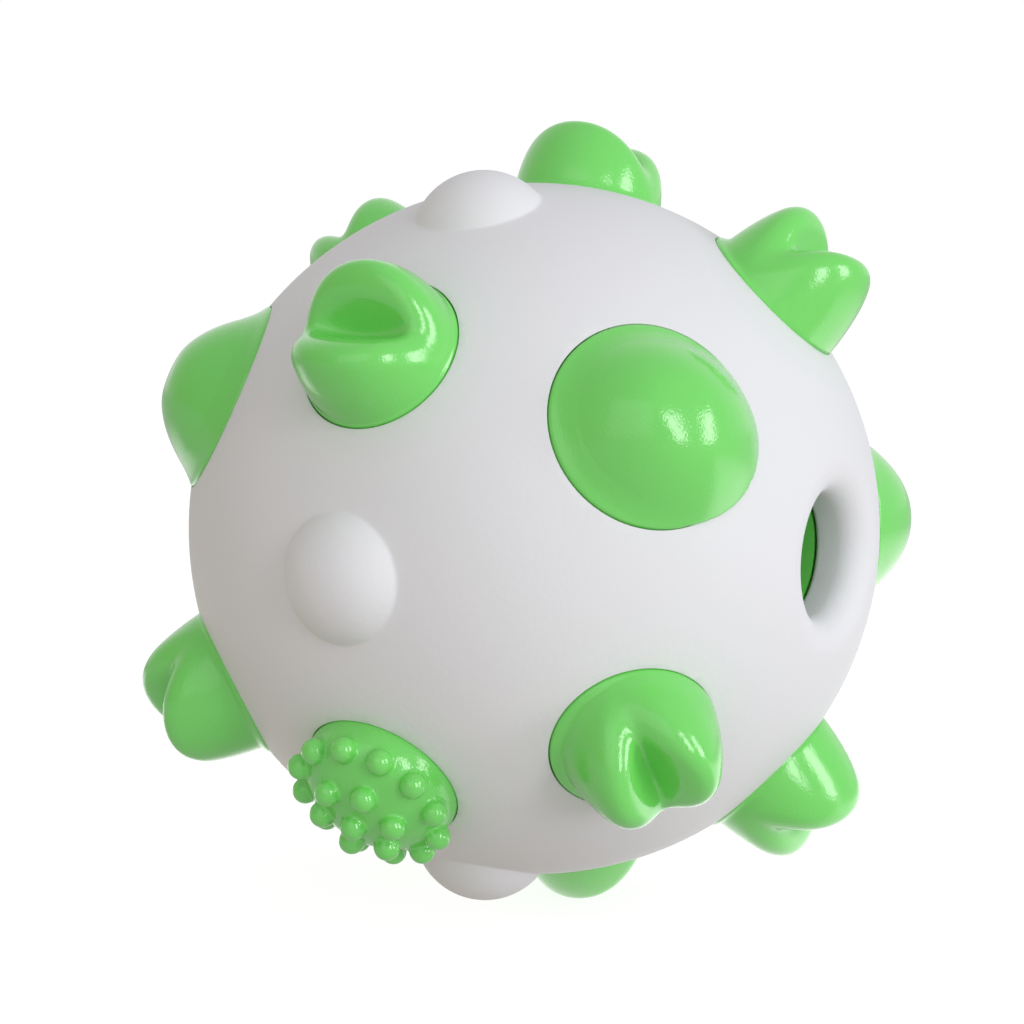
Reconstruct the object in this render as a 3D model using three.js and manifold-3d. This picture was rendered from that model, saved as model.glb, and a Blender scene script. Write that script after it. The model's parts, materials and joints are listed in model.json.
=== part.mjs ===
// A chew ball for dogs: a white ball with a treat hole, and green chewing studs that stand out of it.
// Each stud is a round plug with a flange behind the white shell. A hollow green core keeps it there.
// Millimetres and degrees. The origin is the ball's centre, +X runs out through the treat hole, +Z is up.

import * as THREE from 'three';
import { mergeVertices } from 'three/addons/utils/BufferGeometryUtils.js';
import Module from 'manifold-3d';

// Layers of the ball, from the outside in
const BALL_DIAMETER = 70;
const SHELL_WALL = 5.5;
const FLANGE_THICKNESS = 2;
const CORE_WALL = 2.5;
const FIT = 0.3; // clearance between pieces that seat on each other

// Holes in the shell
const KNOB_HOLE_DIAMETER = 16;
const NUBBED_HOLE_DIAMETER = 15.5;
const DOME_HOLE_DIAMETER = 20;
const HOLE_ROUNDING = 0.6;
const TREAT_HOLE_DIAMETER = 12;
const TREAT_LIP_ROUNDING = 2.8;

// Seams, where the halves of the shell and of the core lap over each other
const SEAM_MARGIN = 0.9; // from the seam to the nearest hole's rounded rim
const SHELL_LAP = 2;
const CORE_LAP = 1.6;
const NECK_WALL = 3; // ring of the core that seats around the treat hole

// Places of the studs: five meridians about the treat hole's axis, and three rings across them
const MERIDIANS = 5;
const FIRST_MERIDIAN = 18; // from +Z towards +Y
const KNOB_LATITUDE = 42; // from the ball's middle towards the treat hole
const DOME_LATITUDE = 45;
const RINGS = [
  { name: 'front', side: 1, kinds: ['knob', 'dome', 'knob', 'knob', 'dome'] },
  { name: 'middle', side: 0, kinds: ['knob', 'nubbed', 'knob', 'nubbed', 'knob'] },
  { name: 'rear', side: -1, kinds: ['knob', 'dome', 'knob', 'knob', 'dome'] },
];

// Plugs of the studs, in their holes
const FLANGE_LIP = 1.6; // how far a flange reaches past its hole
const STUD_RECESS = 0.3; // how far a stud's edge lies below the ball's surface
const FOOT_RISE = 0.25; // from a stud's edge to the foot of its head

// Heads of the studs: the width is taken at the foot, and the crown is the height of the top over the ball
const DOME_WIDTH = 19.4;
const DOME_TAPER = 30;
const DOME_SHIFT = 0.6; // towards the dome's own end of the ball
const DOME_CROWN = 5.1;
const DOME_CROWN_RADIUS = 12.5;
const DOME_ROUNDING = 3.7; // between the flank and the top
const NUBBED_WIDTH = 15.3;
const NUBBED_TAPER = 1;
const NUBBED_CROWN = 5.15;
const NUBBED_CROWN_RADIUS = 9.6;
const NUBBED_ROUNDING = 1.2;
const END_KNOB_WIDTH = 15.2; // in the front and the rear ring
const END_KNOB_TAPER = 10;
const END_KNOB_SHIFT = 0.56; // towards the knob's own end of the ball
const END_KNOB_CROWN = 9.6; // as if there were no groove
const MIDDLE_KNOB_WIDTH = 15.6;
const MIDDLE_KNOB_TAPER = 1.5;
const MIDDLE_KNOB_CROWN = 8.6;
const KNOB_CROWN_RADIUS = 9.7;
const KNOB_ROUNDING = 3;

// Grooves across the knobs
const END_GROOVE_HEIGHT = 3.05; // over the ball, where the groove's walls would meet
const END_GROOVE_SHIFT = 0.26;
const MIDDLE_GROOVE_HEIGHT = 2.05;
const GROOVE_WALL = 38.6; // lean of the walls
const GROOVE_SOFTNESS = 0.35; // of the bottom
const GROOVE_FADE = 4; // distance from the middle at which the bottom is twice as soft
const LOBE_ROUNDING = 2.8;

// Ball-shaped nubs on the nubbed studs
const NUB_DIAMETER = 2.5;
const NUB_RISE = 0.25; // of a nub's centre above the surface under it
const NUB_ANGLE = 29; // of the first nub in each ring, from the stud's own X
const NUB_RINGS = [
  { count: 1, radius: 0 },
  { count: 6, radius: 3.95 },
  { count: 12, radius: 7.25 },
];

// Round bumps that are part of the shell, halfway between the studs of the middle ring
const BUMP_DIAMETER = 12.4;
const BUMP_HEIGHT = 3;
const BUMP_ROOT = 3; // how deep a bump runs into the shell

// Fineness of the round shapes
const SHELL_SIDES = 32;
const CORE_SIDES = 20;
const HOLE_SIDES = 18;
const STUD_SIDES = 24;
const NUB_SIDES = 6;
const NUB_LAYERS = 4;
const ARC_STEP = 10; // degrees in the large arcs
const BUMP_STEPS = 6;
const HEAD_STEPS = 10; // from the foot of a stud's head to its top
const HALVINGS = 30; // of the distance in which a head's surface is searched for
const ROUNDING_STEPS = 2;
const RUN_OUT = 100; // degrees at which a rounded edge runs out into the surface beside it
const WELD = 1e-4; // points nearer than this are one point

const WHITE_SHELL = { color: 0xe8e8ea, roughness: 0.6, metalness: 0 };
const GREEN_CORE = { color: 0x6dd45c, roughness: 0.35, metalness: 0 };
const GREEN_STUD = { color: 0x6dd45c, roughness: 0.25, metalness: 0 };

const BALL_RADIUS = BALL_DIAMETER / 2;
const SHELL_INNER_RADIUS = BALL_RADIUS - SHELL_WALL;
const FLANGE_OUTER_RADIUS = SHELL_INNER_RADIUS - FIT;
const FLANGE_INNER_RADIUS = FLANGE_OUTER_RADIUS - FLANGE_THICKNESS;
const CORE_RADIUS = FLANGE_INNER_RADIUS - FIT;
const CORE_INNER_RADIUS = CORE_RADIUS - CORE_WALL;
const TREAT_RADIUS = TREAT_HOLE_DIAMETER / 2;
const SHELL_SEAM = -(KNOB_HOLE_DIAMETER / 2 + HOLE_ROUNDING + SEAM_MARGIN); // on X
const HOLE_RADIUS = {
  knob: KNOB_HOLE_DIAMETER / 2,
  nubbed: NUBBED_HOLE_DIAMETER / 2,
  dome: DOME_HOLE_DIAMETER / 2,
};

const DOME = {
  width: DOME_WIDTH,
  taper: DOME_TAPER,
  shift: DOME_SHIFT,
  crown: DOME_CROWN,
  crownRadius: DOME_CROWN_RADIUS,
  rounding: DOME_ROUNDING,
};
const NUBBED = {
  width: NUBBED_WIDTH,
  taper: NUBBED_TAPER,
  shift: 0,
  crown: NUBBED_CROWN,
  crownRadius: NUBBED_CROWN_RADIUS,
  rounding: NUBBED_ROUNDING,
};
const END_KNOB = {
  width: END_KNOB_WIDTH,
  taper: END_KNOB_TAPER,
  shift: END_KNOB_SHIFT,
  crown: END_KNOB_CROWN,
  crownRadius: KNOB_CROWN_RADIUS,
  rounding: KNOB_ROUNDING,
  groove: { height: END_GROOVE_HEIGHT, shift: END_GROOVE_SHIFT },
};
const MIDDLE_KNOB = {
  width: MIDDLE_KNOB_WIDTH,
  taper: MIDDLE_KNOB_TAPER,
  shift: 0,
  crown: MIDDLE_KNOB_CROWN,
  crownRadius: KNOB_CROWN_RADIUS,
  rounding: KNOB_ROUNDING,
  groove: { height: MIDDLE_GROOVE_HEIGHT, shift: 0 },
};

const wasm = await Module();
wasm.setup();

const radians = THREE.MathUtils.degToRad;
const degrees = THREE.MathUtils.radToDeg;

// How far along an axis through its centre a sphere's surface is, at a distance from that axis
function reach(sphereRadius, distance) {
  return Math.sqrt(sphereRadius ** 2 - distance ** 2);
}

// Points of an arc in a profile, from one angle to another, both counted from the radial direction
function arc(centreR, centreH, radius, from, to, steps) {
  const points = [];
  for (let i = 0; i <= steps; i += 1) {
    const angle = radians(from + ((to - from) * i) / steps);
    points.push([centreR + radius * Math.cos(angle), centreH + radius * Math.sin(angle)]);
  }
  return points;
}

// An arc about the ball's centre between two heights on the axis
function sphereArc(radius, fromHeight, toHeight) {
  const from = degrees(Math.asin(fromHeight / radius));
  const to = degrees(Math.asin(toHeight / radius));
  const steps = Math.max(1, Math.round(Math.abs(to - from) / ARC_STEP));
  return arc(0, 0, radius, from, to, steps);
}

// A profile of [distance from the axis, height] turned about Z
function turned(profile, sides) {
  const points = profile.map(([r, h]) => new THREE.Vector2(Math.max(r, 0), h));
  return new THREE.LatheGeometry(points, sides).rotateX(Math.PI / 2);
}

// The same profile turned about X
function turnedAboutX(profile, sides) {
  return turned(profile, sides).rotateY(Math.PI / 2);
}

// A closed geometry as a solid that can be joined and cut
function solid(geometry) {
  const bare = geometry.clone();
  bare.deleteAttribute('normal');
  bare.deleteAttribute('uv');
  const merged = mergeVertices(bare, WELD);
  const mesh = new wasm.Mesh({
    numProp: 3,
    vertProperties: merged.attributes.position.array,
    triVerts: new Uint32Array(merged.index.array),
  });
  mesh.merge();
  return new wasm.Manifold(mesh);
}

function geometryOf(body) {
  const mesh = body.getMesh();
  const geometry = new THREE.BufferGeometry();
  geometry.setAttribute('position', new THREE.BufferAttribute(mesh.vertProperties, 3));
  geometry.setIndex(new THREE.BufferAttribute(mesh.triVerts, 1));
  geometry.computeVertexNormals();
  return geometry;
}

function piece(name, geometry, finish) {
  const mesh = new THREE.Mesh(geometry, new THREE.MeshStandardMaterial(finish));
  mesh.name = name;
  return mesh;
}

// A group whose own Z points out of the ball at a place on it, and own X towards the treat hole's end
function placeOnBall(meridian, latitude) {
  const around = new THREE.Group();
  around.rotation.x = -radians(meridian);
  const tilted = new THREE.Group();
  tilted.rotation.y = radians(latitude);
  around.add(tilted);
  around.updateMatrixWorld(true);
  return { around, tilted };
}

function meridianAngle(index) {
  return FIRST_MERIDIAN + (360 / MERIDIANS) * index;
}

// All the studs: their names, kinds and places
function studPlaces() {
  const places = [];
  for (const ring of RINGS) {
    ring.kinds.forEach((kind, index) => {
      const latitude = ring.side * (kind === 'dome' ? DOME_LATITUDE : KNOB_LATITUDE);
      const name = `${ring.name}_${kind}_${index + 1}`;
      places.push({ name, kind, side: ring.side, ...placeOnBall(meridianAngle(index), latitude) });
    });
  }
  return places;
}

// The space of a stud's hole: straight through the wall, and flared at the ball's surface for a rounded rim
function holeCutter(holeRadius) {
  const rimRadius = holeRadius + HOLE_ROUNDING;
  const rim = reach(BALL_RADIUS, rimRadius);
  const flare = arc(rimRadius, rim - HOLE_ROUNDING, HOLE_ROUNDING, 180, RUN_OUT, ROUNDING_STEPS);
  const profile = [
    [0, CORE_RADIUS],
    [holeRadius, CORE_RADIUS],
    ...flare,
    [rimRadius, BALL_RADIUS + HOLE_ROUNDING],
    [0, BALL_RADIUS + HOLE_ROUNDING],
  ];
  return turned(profile, HOLE_SIDES);
}

// A bump of the shell: the top of a small sphere, rooted in the wall
function bumpShape() {
  const base = reach(BALL_RADIUS, BUMP_DIAMETER / 2);
  const rise = BALL_RADIUS + BUMP_HEIGHT - base;
  const radius = ((BUMP_DIAMETER / 2) ** 2 + rise ** 2) / (2 * rise);
  const centre = BALL_RADIUS + BUMP_HEIGHT - radius;
  const root = BALL_RADIUS - BUMP_ROOT;
  const rootAngle = degrees(Math.asin((root - centre) / radius));
  return turned([[0, root], ...arc(0, centre, radius, rootAngle, 90, BUMP_STEPS)], HOLE_SIDES);
}

// Where the tongue of a lap joint sits in a wall that a seam plane cuts
function lapRadii(outerRadius, innerRadius, seam) {
  const outer = reach(outerRadius, seam);
  const inner = reach(innerRadius, seam);
  const middle = (outer + inner) / 2;
  return { inner, tongue: middle - FIT / 2, rebate: middle + FIT / 2 };
}

// The larger part of the white shell, with the treat hole at its end and a tongue at the seam
function shellFrontBlank() {
  const lap = lapRadii(BALL_RADIUS, SHELL_INNER_RADIUS, SHELL_SEAM);
  const lipRadius = TREAT_RADIUS + TREAT_LIP_ROUNDING;
  const lipCentre = reach(BALL_RADIUS - TREAT_LIP_ROUNDING, lipRadius);
  const lipEnd = degrees(Math.atan2(lipCentre, lipRadius));
  const lip = arc(lipRadius, lipCentre, TREAT_LIP_ROUNDING, 180, lipEnd, 2 * ROUNDING_STEPS);
  const outerEnd = lip[lip.length - 1][1];
  const inside = sphereArc(SHELL_INNER_RADIUS, SHELL_SEAM, reach(SHELL_INNER_RADIUS, TREAT_RADIUS));
  return turnedAboutX(
    [
      ...lip,
      ...sphereArc(BALL_RADIUS, outerEnd, SHELL_SEAM).slice(1),
      [lap.tongue, SHELL_SEAM],
      [lap.tongue, SHELL_SEAM - SHELL_LAP],
      [lap.inner, SHELL_SEAM - SHELL_LAP],
      ...inside,
      lip[0],
    ].reverse(),
    SHELL_SIDES,
  );
}

// The rest of the white shell, a cap with a rebate for the tongue
function shellRearBlank() {
  const lap = lapRadii(BALL_RADIUS, SHELL_INNER_RADIUS, SHELL_SEAM);
  const floor = SHELL_SEAM - SHELL_LAP - FIT;
  return turnedAboutX(
    [
      ...sphereArc(BALL_RADIUS, -BALL_RADIUS, SHELL_SEAM),
      [lap.rebate, SHELL_SEAM],
      [lap.rebate, floor],
      ...sphereArc(SHELL_INNER_RADIUS, floor, -SHELL_INNER_RADIUS),
    ],
    SHELL_SIDES,
  );
}

// A shell blank with the holes of the given studs cut through it, and bumps joined on
function shell(blank, studs, bumpMeridians) {
  let body = solid(blank);
  for (const meridian of bumpMeridians) {
    const { tilted } = placeOnBall(meridian, 0);
    body = body.add(solid(bumpShape().applyMatrix4(tilted.matrixWorld)));
  }
  for (const stud of studs) {
    const cutter = holeCutter(HOLE_RADIUS[stud.kind]).applyMatrix4(stud.tilted.matrixWorld);
    body = body.subtract(solid(cutter));
  }
  return geometryOf(body);
}

// The open half of the green core: its neck fills the way from the core to the shell's treat hole
function coreFront() {
  const lap = lapRadii(CORE_RADIUS, CORE_INNER_RADIUS, 0);
  const neckRadius = TREAT_RADIUS + NECK_WALL;
  return turnedAboutX(
    [
      [TREAT_RADIUS, reach(CORE_INNER_RADIUS, TREAT_RADIUS)],
      ...sphereArc(CORE_INNER_RADIUS, reach(CORE_INNER_RADIUS, TREAT_RADIUS), 0).slice(1),
      [lap.inner, -CORE_LAP],
      [lap.tongue, -CORE_LAP],
      [lap.tongue, 0],
      ...sphereArc(CORE_RADIUS, 0, reach(CORE_RADIUS, neckRadius)),
      [neckRadius, reach(FLANGE_OUTER_RADIUS, neckRadius)],
      [TREAT_RADIUS, reach(FLANGE_OUTER_RADIUS, TREAT_RADIUS)],
      [TREAT_RADIUS, reach(CORE_INNER_RADIUS, TREAT_RADIUS)],
    ],
    CORE_SIDES,
  );
}

// The closed half of the green core
function coreRear() {
  const lap = lapRadii(CORE_RADIUS, CORE_INNER_RADIUS, 0);
  const floor = -CORE_LAP - FIT;
  return turnedAboutX(
    [
      ...sphereArc(CORE_RADIUS, -CORE_RADIUS, 0),
      [lap.rebate, 0],
      [lap.rebate, floor],
      ...sphereArc(CORE_INNER_RADIUS, floor, -CORE_INNER_RADIUS),
    ],
    CORE_SIDES,
  );
}

// The hidden part of every stud: a flange that follows the inside of the shell, and a stem up the hole
function plugProfile(holeRadius) {
  const stemRadius = holeRadius - FIT;
  const flangeAngle = degrees(Math.asin((holeRadius + FLANGE_LIP) / SHELL_INNER_RADIUS));
  const stemAngle = degrees(Math.asin(stemRadius / FLANGE_OUTER_RADIUS));
  const inside = arc(0, 0, FLANGE_INNER_RADIUS, 90, 90 - flangeAngle, 2);
  const outside = arc(0, 0, FLANGE_OUTER_RADIUS, 90 - flangeAngle, 90 - stemAngle, 1);
  const edge = reach(BALL_RADIUS, stemRadius) - STUD_RECESS;
  return { stemRadius, edge, points: [...inside, ...outside, [stemRadius, edge]] };
}

// The greater of two depths, with a rounding where they meet
function roundMax(a, b, radius) {
  const corner = Math.hypot(Math.max(a + radius, 0), Math.max(b + radius, 0));
  return Math.min(Math.max(a, b), -radius) + corner;
}

// How far a point is outside a stud's head: a leaning flank, a curved top and, on knobs, a groove along Y
function headDepth(head, foot, point) {
  const out = Math.hypot(point.x - head.shift, point.y);
  const taper = radians(head.taper);
  const flank = (out - head.width / 2) * Math.cos(taper) + (point.z - foot) * Math.sin(taper);
  const crownCentre = BALL_RADIUS + head.crown - head.crownRadius;
  const crown = Math.hypot(out, point.z - crownCentre) - head.crownRadius;
  const blank = roundMax(flank, crown, head.rounding);
  if (!head.groove) {
    return blank;
  }
  const softness = GROOVE_SOFTNESS * (1 + (point.y / GROOVE_FADE) ** 2);
  const aside = Math.hypot(point.x - head.groove.shift, softness);
  const above = point.z - BALL_RADIUS - head.groove.height;
  const wall = radians(GROOVE_WALL);
  return roundMax(blank, above * Math.sin(wall) - aside * Math.cos(wall), LOBE_ROUNDING);
}

// Where a ray from the middle of a head's foot leaves the head
function onHead(head, foot, ray) {
  const middle = new THREE.Vector3(head.shift, 0, foot);
  const point = new THREE.Vector3();
  let inside = 0;
  let outside = BALL_RADIUS;
  for (let i = 0; i < HALVINGS; i += 1) {
    const distance = (inside + outside) / 2;
    point.copy(middle).addScaledVector(ray, distance);
    if (headDepth(head, foot, point) < 0) {
      inside = distance;
    } else {
      outside = distance;
    }
  }
  return point;
}

// A stud with its own Z out of the ball: a turned plug and a round head, which is then drawn to its true form
function studBody(holeRadius, head) {
  const plug = plugProfile(holeRadius);
  const foot = plug.edge + FOOT_RISE;
  const round = arc(0, foot, head.width / 2, 0, 90, HEAD_STEPS);
  const geometry = turned([...plug.points, ...round], STUD_SIDES);
  const points = geometry.attributes.position;
  for (let i = 0; i < points.count; i += 1) {
    const point = new THREE.Vector3().fromBufferAttribute(points, i);
    if (point.z > plug.edge + FOOT_RISE / 2) {
      const ray = point.setZ(point.z - foot).normalize();
      points.setXYZ(i, ...onHead(head, foot, ray));
    }
  }
  return solid(geometry);
}

// The nubs of a nubbed stud, in rings on its curved top
function withNubs(body) {
  const centre = BALL_RADIUS + NUBBED_CROWN - NUBBED_CROWN_RADIUS;
  let nubbed = body;
  for (const ring of NUB_RINGS) {
    for (let i = 0; i < ring.count; i += 1) {
      const angle = radians(NUB_ANGLE + (360 / ring.count) * i);
      const height = centre + reach(NUBBED_CROWN_RADIUS + NUB_RISE, ring.radius);
      const nub = new THREE.SphereGeometry(NUB_DIAMETER / 2, NUB_SIDES, NUB_LAYERS);
      nub.translate(ring.radius * Math.cos(angle), ring.radius * Math.sin(angle), height);
      nubbed = nubbed.add(solid(nub));
    }
  }
  return nubbed;
}

// A stud, turned so that its own X points to its end of the ball, or across the ball in the middle ring
function studShape(kind, side) {
  const turn = radians(90 * (1 - side));
  if (kind === 'dome') {
    return geometryOf(studBody(HOLE_RADIUS.dome, DOME)).rotateZ(turn);
  }
  if (kind === 'nubbed') {
    return geometryOf(withNubs(studBody(HOLE_RADIUS.nubbed, NUBBED))).rotateZ(turn);
  }
  const head = side === 0 ? MIDDLE_KNOB : END_KNOB;
  return geometryOf(studBody(HOLE_RADIUS.knob, head)).rotateZ(turn);
}

const studs = studPlaces();
const frontStuds = studs.filter((stud) => stud.side >= 0);
const rearStuds = studs.filter((stud) => stud.side < 0);
const bumpMeridians = [...Array(MERIDIANS).keys()].map((index) => meridianAngle(index + 0.5));

const chewBall = new THREE.Group();
chewBall.add(piece('shell_front', shell(shellFrontBlank(), frontStuds, bumpMeridians), WHITE_SHELL));
chewBall.add(piece('shell_rear', shell(shellRearBlank(), rearStuds, []), WHITE_SHELL));
chewBall.add(piece('core_front', coreFront(), GREEN_CORE));
chewBall.add(piece('core_rear', coreRear(), GREEN_CORE));
for (const stud of studs) {
  stud.tilted.add(piece(stud.name, studShape(stud.kind, stud.side), GREEN_STUD));
  chewBall.add(stud.around);
}

export default chewBall;
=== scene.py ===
import json
import math

import bpy
import numpy as np
from bpy.props import FloatProperty, FloatVectorProperty, PointerProperty
from mathutils import Matrix, Vector

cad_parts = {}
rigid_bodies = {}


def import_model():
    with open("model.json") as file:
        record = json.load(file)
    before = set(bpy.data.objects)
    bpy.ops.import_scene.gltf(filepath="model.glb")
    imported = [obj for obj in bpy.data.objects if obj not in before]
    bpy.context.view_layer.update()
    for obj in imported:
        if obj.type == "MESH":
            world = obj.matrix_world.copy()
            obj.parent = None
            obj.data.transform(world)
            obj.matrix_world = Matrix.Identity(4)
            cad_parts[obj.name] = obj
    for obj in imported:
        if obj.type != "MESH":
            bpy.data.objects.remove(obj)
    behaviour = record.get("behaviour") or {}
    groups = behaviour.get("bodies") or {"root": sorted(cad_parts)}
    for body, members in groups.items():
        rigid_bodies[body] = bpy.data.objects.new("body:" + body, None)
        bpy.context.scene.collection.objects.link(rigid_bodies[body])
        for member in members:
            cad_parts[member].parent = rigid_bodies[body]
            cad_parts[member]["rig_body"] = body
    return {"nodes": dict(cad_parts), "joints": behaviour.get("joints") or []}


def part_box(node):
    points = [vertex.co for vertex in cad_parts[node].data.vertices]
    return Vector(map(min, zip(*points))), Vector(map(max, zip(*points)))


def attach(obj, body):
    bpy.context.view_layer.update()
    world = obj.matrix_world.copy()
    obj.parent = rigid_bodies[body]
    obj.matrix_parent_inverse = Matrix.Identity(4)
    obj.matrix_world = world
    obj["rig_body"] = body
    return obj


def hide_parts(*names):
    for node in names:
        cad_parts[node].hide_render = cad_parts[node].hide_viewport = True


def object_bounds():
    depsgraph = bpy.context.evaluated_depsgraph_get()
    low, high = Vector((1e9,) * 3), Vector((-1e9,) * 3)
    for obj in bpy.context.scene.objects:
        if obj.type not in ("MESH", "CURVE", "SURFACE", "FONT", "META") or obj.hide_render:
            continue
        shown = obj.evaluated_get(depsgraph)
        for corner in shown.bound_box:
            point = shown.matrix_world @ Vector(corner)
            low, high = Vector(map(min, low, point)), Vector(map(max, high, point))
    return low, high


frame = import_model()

bl_info = {
    "name": "Dog chew ball",
    "version": (1, 0, 0),
    "blender": (4, 5, 0),
    "location": "View3D > Sidebar > Chew Ball",
    "description": "Builds the moulded pieces of a studded chew ball around its frame, and a studio for it",
    "category": "Object",
}

MM = 0.001
CAD_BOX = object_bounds()
TREAT_AXIS = Vector((1, 0, 0))
BALL_RADIUS = -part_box("shell_rear")[0].x
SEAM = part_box("shell_rear")[1].x
STUD_AXES = {joint["child"]: Vector(joint["axis"]) for joint in frame["joints"]}
NUB_RINGS = ((1, 0), (6, 3.95 * MM), (12, 7.25 * MM))  # count and distance from the stud's axis
WIDE_DOME = "front_dome_5"  # the dome whose head reaches furthest over the rim of its hole
TO_TREAT_END = Matrix.Rotation(math.pi / 2, 3, "Y")  # the turn that takes Z to the treat hole's axis

# Fineness of the meshes
BALL_SUBDIVISIONS = 6
INSIDE_SUBDIVISIONS = 4
NUB_SUBDIVISIONS = 3
TURN_STEPS = 96
ROUNDING_STEPS = 8
FLANGE_STEPS = 3
CAP_STEPS = 28
STUD_VOXEL = 0.18 * MM
WELD = 0.001 * MM
SMOOTH_ANGLE = math.radians(38)

# How far shapes that cut or join others reach past their surfaces
RIM_RUN = 2 * MM
FOOT_RUN = 1.5 * MM
OVER_BALL = 4 * MM
UNDER_SURFACE = 3 * MM
HEAD_SINK = 0.2 * MM
GROOVE_REACH = 2  # a groove's space is this many times as large as the head that it cuts
RUN_OUT = 8  # degrees by which a rounded edge still crosses the surface that it runs out into
THROAT_LIFT = 0.6  # share of its rounding by which the throat's inner end stands over the wall's inside
THROAT_START = 260  # degrees at which the rounding of the throat's inner end starts

# How a stud's mesh is drawn onto its moulded surface
SOFT_ROUNDS = 2
DRAW_ROUNDS = 8
EVEN_ROUNDS = 3
LAST_DRAW_ROUNDS = 3
SMOOTH_FACTOR = 0.5
DRAWN_DEPTH = 0.4 * MM  # under a stem's edge, where the drawn surface begins
PROBE = 0.002 * MM  # distance to each side over which a slope is measured
LEAST_SLOPE = 0.1  # least square of a slope, which keeps each step short

GRAIN_HEIGHT = 0.1 * MM  # of the rubber's moulded grain


def length(name, description, millimetres):
    """A size that a user may change."""
    return FloatProperty(
        name=name,
        description=description,
        default=millimetres * MM,
        min=0,
        precision=5,
        unit="LENGTH",
        subtype="DISTANCE",
    )


def tilt(name, description, degrees):
    """An angle that a user may change."""
    return FloatProperty(
        name=name, description=description, default=math.radians(degrees), min=0, subtype="ANGLE"
    )


def share(name, description, value):
    """A share of one that a user may change."""
    return FloatProperty(name=name, description=description, default=value, min=0, max=1, subtype="FACTOR")


def colour(name, description, value):
    """A colour that a user may change."""
    return FloatVectorProperty(
        name=name, description=description, default=value, size=3, min=0, max=1, subtype="COLOR"
    )


class ShellSizes(bpy.types.PropertyGroup):
    """Sizes of the white shell and the green core inside it"""

    wall: length("Wall", "Thickness of the white shell", 5.5)
    knob_hole: length("Knob hole", "Radius of the holes for knobs", 8)
    nubbed_hole: length("Nubbed hole", "Radius of the holes for nubbed domes", 7.75)
    dome_hole: length("Dome hole", "Radius of the holes for smooth domes", 9.85)
    hole_rounding: length("Hole rounding", "Rounding of the stud holes' rims", 0.06)
    hole_flare: length("Hole flare", "Widening of the stud holes at their rims", 0.06)
    flare_depth: length("Flare depth", "Depth to which the stud holes widen", 0.35)
    treat_hole: length("Treat hole", "Radius of the treat hole's throat", 6)
    treat_lip: length("Treat lip", "Rounding of the treat hole's lip", 2.8)
    throat_rounding: length("Throat rounding", "Rounding at the inner end of the treat hole", 0.5)
    bump: length("Bump", "Radius of the moulded bumps where they meet the ball", 6.2)
    bump_height: length("Bump height", "Height of the moulded bumps over the ball", 3)
    bump_fillet: length("Bump fillet", "Fillet at the foot of the bumps", 0.5)
    core_radius: length("Core", "Outer radius of the green core", 26.9)
    core_wall: length("Core wall", "Thickness of the green core", 2.5)
    neck_wall: length("Neck wall", "Thickness of the core's neck around the treat hole", 3)


class StudSizes(bpy.types.PropertyGroup):
    """Sizes that all the green studs share"""

    fit: length("Fit", "Clearance under the shell", 0.3)
    gap: length("Gap", "Clearance of a stem at the rim of its hole", 0.08)
    clearance: length("Clearance", "Height of an overhanging edge over the ball", 0.12)
    flange: length("Flange", "Thickness of the flange behind the shell", 2)
    flange_lip: length("Flange lip", "How far a flange reaches past its hole", 1.6)
    rise: length("Rise", "Height of a stem's edge over the rim of its hole", 0.1)
    shoulder: tilt("Shoulder", "Slope of a stem's top down to its edge", 35)
    shoulder_height: length("Shoulder height", "Height of a stem's top over its edge", 1.4)
    edge_rounding: length("Edge rounding", "Rounding of a stem's edge", 0.12)
    overhang_rounding: length("Overhang rounding", "Rounding of an overhanging edge", 0.24)
    foot_rounding: length("Foot rounding", "Rounding between a head's flank and its upright foot", 0.3)


class DomeTop:
    """Sizes that all the smooth domes share"""

    taper: tilt("Taper", "Lean of the flank", 30)
    crown: length("Crown", "Height of the top over the ball", 5.12)
    crown_radius: length("Crown radius", "Radius of the top", 12.5)
    rounding: length("Rounding", "Rounding between the flank and the top", 3.7)
    fillet: length("Fillet", "Fillet at the foot", 0.5)


class DomeSizes(DomeTop, bpy.types.PropertyGroup):
    """Sizes of most of the smooth domes"""

    foot: length("Foot", "Radius at the foot", 9.75)
    oval: share("Oval", "Share by which the head is longer along the ball's axis", 0.05)
    shift: length("Shift", "Shift towards the dome's own end of the ball", 0.55)


class WideDomeSizes(DomeTop, bpy.types.PropertyGroup):
    """Sizes of the smooth dome whose head reaches furthest over the rim of its hole"""

    foot: length("Foot", "Radius at the foot", 9.95)
    oval: share("Oval", "Share by which the head is longer along the ball's axis", 0.08)
    shift: length("Shift", "Shift towards the dome's own end of the ball", 0.8)


class NubbedSizes(bpy.types.PropertyGroup):
    """Sizes of the lower domes with nubs"""

    foot: length("Foot", "Radius at the foot", 7.77)
    oval: share("Oval", "Share by which the head is longer along the ball's axis", 0)
    taper: tilt("Taper", "Lean of the flank", 1)
    shift: length("Shift", "Shift of the head on its stem", 0)
    crown: length("Crown", "Height of the top over the ball", 5.15)
    crown_radius: length("Crown radius", "Radius of the top", 9.6)
    rounding: length("Rounding", "Rounding between the flank and the top", 1.2)
    fillet: length("Fillet", "Fillet at the foot", 0.3)
    nub: length("Nub", "Radius of a nub", 1.25)
    nub_rise: length("Nub rise", "Height of a nub's centre over the top under it", 0.25)
    nub_fillet: length("Nub fillet", "Fillet at the foot of a nub", 0.3)
    nub_turn: tilt("Nub turn", "Angle of the first nub in each ring from the ball's axis", 59)


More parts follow.
